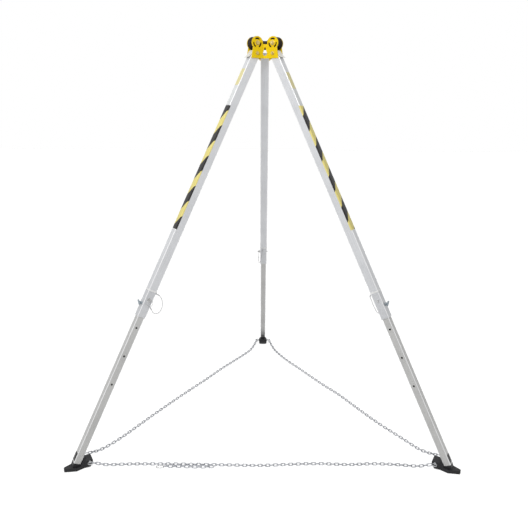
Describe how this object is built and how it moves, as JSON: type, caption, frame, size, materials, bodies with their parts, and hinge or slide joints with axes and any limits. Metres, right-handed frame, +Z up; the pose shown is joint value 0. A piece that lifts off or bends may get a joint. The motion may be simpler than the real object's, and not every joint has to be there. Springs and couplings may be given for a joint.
{
  "type": "rescue tripod",
  "caption": "Free-standing rescue tripod: telescopic square aluminium legs hinged in a folded yellow plate head with rope rollers, lock pins, clamp screws, shoes and floor chains",
  "frame": {"origin": "on the floor under the middle of the footprint", "axes": "Z up; Y towards the back leg; X from the left to the right front leg"},
  "size_m": [2.3176, 2.007, 2.4485],
  "materials": {
    "yellow_paint": "gloss",
    "plate_aluminium": "satin",
    "plated_bolts": "satin",
    "black_nylon": "satin",
    "bush_bronze": "satin",
    "upper_aluminium": "satin",
    "plain_aluminium": "satin",
    "lower_aluminium": "satin",
    "glide_nylon": "matte",
    "collar_aluminium": "satin",
    "blue_black_paint": "satin",
    "pin_steel": "satin",
    "wire_rope": "satin",
    "black_casting": "matte",
    "black_rubber": "matte",
    "strap_paint": "satin",
    "galvanised_steel": "satin",
    "galvanised_chain": "satin"
  },
  "bodies": {
    "head": {"head_plate_front": "yellow_paint", "head_plate_left": "yellow_paint", "head_plate_right": "yellow_paint", "stop_plate_left": "plate_aluminium", "stop_plate_right": "plate_aluminium", "stop_plate_back": "plate_aluminium", "axle_bolts": "plated_bolts", "hinge_bolts": "plated_bolts"},
    "roller_unit_left": {"roller_left": "black_nylon", "roller_bush_left": "bush_bronze"},
    "upper_leg_left": {"upper_tube_left": "upper_aluminium", "hinge_block_left": "plain_aluminium"},
    "lower_leg_left": {"lower_tube_left": "lower_aluminium", "glide_plug_left": "glide_nylon", "lock_collar_left": "collar_aluminium", "shoe_left": "black_casting", "sole_left": "black_rubber", "shoe_strap_left": "strap_paint", "shoe_bolts_left": "plated_bolts", "chain_eyes_left": "galvanised_steel", "lanyard_left": "wire_rope", "chain_front": "galvanised_chain", "chain_hook": "galvanised_steel"},
    "clamp_left": {"clamp_screw_left": "blue_black_paint"},
    "pin_left": {"lock_pin_left": "pin_steel", "pin_ring_left": "pin_steel"},
    "roller_unit_right": {"roller_right": "black_nylon", "roller_bush_right": "bush_bronze"},
    "upper_leg_right": {"upper_tube_right": "upper_aluminium", "hinge_block_right": "plain_aluminium"},
    "lower_leg_right": {"lower_tube_right": "lower_aluminium", "glide_plug_right": "glide_nylon", "lock_collar_right": "collar_aluminium", "shoe_right": "black_casting", "sole_right": "black_rubber", "shoe_strap_right": "strap_paint", "shoe_bolts_right": "plated_bolts", "chain_eyes_right": "galvanised_steel", "lanyard_right": "wire_rope", "chain_right": "galvanised_chain"},
    "clamp_right": {"clamp_screw_right": "blue_black_paint"},
    "pin_right": {"lock_pin_right": "pin_steel", "pin_ring_right": "pin_steel"},
    "roller_unit_back": {"roller_back": "black_nylon", "roller_bush_back": "bush_bronze"},
    "upper_leg_back": {"upper_tube_back": "upper_aluminium", "hinge_block_back": "plain_aluminium"},
    "lower_leg_back": {"lower_tube_back": "lower_aluminium", "glide_plug_back": "glide_nylon", "lock_collar_back": "collar_aluminium", "shoe_back": "black_casting", "sole_back": "black_rubber", "shoe_strap_back": "strap_paint", "shoe_bolts_back": "plated_bolts", "chain_eyes_back": "galvanised_steel", "lanyard_back": "wire_rope", "chain_left": "galvanised_chain"},
    "clamp_back": {"clamp_screw_back": "blue_black_paint"},
    "pin_back": {"lock_pin_back": "pin_steel", "pin_ring_back": "pin_steel"}
  },
  "joints": [
    {"name": "leg_fold_left", "type": "hinge", "parent": "head", "child": "upper_leg_left", "pos_m": [-0.06062, -0.36431, 2.35604], "axis": [0.5, -0.866, 0], "range_deg": [0, 25], "deforming": ["chain_front", "chain_left"]},
    {"name": "leg_extend_left", "type": "slide", "parent": "upper_leg_left", "child": "lower_leg_left", "axis": [-0.3959, -0.2285, -0.8894], "range_m": [0, 0.54], "deforming": ["chain_front", "chain_left"]},
    {"name": "roller_spin_left", "type": "hinge", "parent": "head", "child": "roller_unit_left", "pos_m": [-0.05889, -0.36331, 2.41204], "axis": [0.5, -0.866, 0], "continuous": true},
    {"name": "clamp_turn_left", "type": "hinge", "parent": "lower_leg_left", "child": "clamp_left", "pos_m": [-0.69055, -0.728, 0.94071], "axis": [-0.7703, -0.4447, 0.4571], "range_deg": [0, 360]},
    {"name": "pin_pull_left", "type": "slide", "parent": "lower_leg_left", "child": "pin_left", "axis": [0.5, -0.866, 0], "range_m": [0, 0.065], "deforming": ["lanyard_left"]},
    {"name": "leg_fold_right", "type": "hinge", "parent": "head", "child": "upper_leg_right", "pos_m": [0.06062, -0.36431, 2.35604], "axis": [0.5, 0.866, 0], "range_deg": [0, 25], "deforming": ["chain_front", "chain_right"]},
    {"name": "leg_extend_right", "type": "slide", "parent": "upper_leg_right", "child": "lower_leg_right", "axis": [0.3959, -0.2285, -0.8894], "range_m": [0, 0.54], "deforming": ["chain_front", "chain_right"]},
    {"name": "roller_spin_right", "type": "hinge", "parent": "head", "child": "roller_unit_right", "pos_m": [0.05889, -0.36331, 2.41204], "axis": [0.5, 0.866, 0], "continuous": true},
    {"name": "clamp_turn_right", "type": "hinge", "parent": "lower_leg_right", "child": "clamp_right", "pos_m": [0.69055, -0.728, 0.94071], "axis": [0.7703, -0.4447, 0.4571], "range_deg": [0, 360]},
    {"name": "pin_pull_right", "type": "slide", "parent": "lower_leg_right", "child": "pin_right", "axis": [0.5, 0.866, 0], "range_m": [0, 0.065], "deforming": ["lanyard_right"]},
    {"name": "leg_fold_back", "type": "hinge", "parent": "head", "child": "upper_leg_back", "pos_m": [0, -0.25931, 2.35604], "axis": [-1, 0, 0], "range_deg": [0, 25], "deforming": ["chain_left", "chain_right"]},
    {"name": "leg_extend_back", "type": "slide", "parent": "upper_leg_back", "child": "lower_leg_back", "axis": [0, 0.4571, -0.8894], "range_m": [0, 0.54], "deforming": ["chain_left", "chain_right"]},
    {"name": "roller_spin_back", "type": "hinge", "parent": "head", "child": "roller_unit_back", "pos_m": [0, -0.26131, 2.41204], "axis": [-1, 0, 0], "continuous": true},
    {"name": "clamp_turn_back", "type": "hinge", "parent": "lower_leg_back", "child": "clamp_back", "pos_m": [0, 0.46807, 0.94071], "axis": [0, 0.8894, 0.4571], "range_deg": [0, 360]},
    {"name": "pin_pull_back", "type": "slide", "parent": "lower_leg_back", "child": "pin_back", "axis": [-1, 0, 0], "range_m": [0, 0.065], "deforming": ["lanyard_back"]}
  ]
}
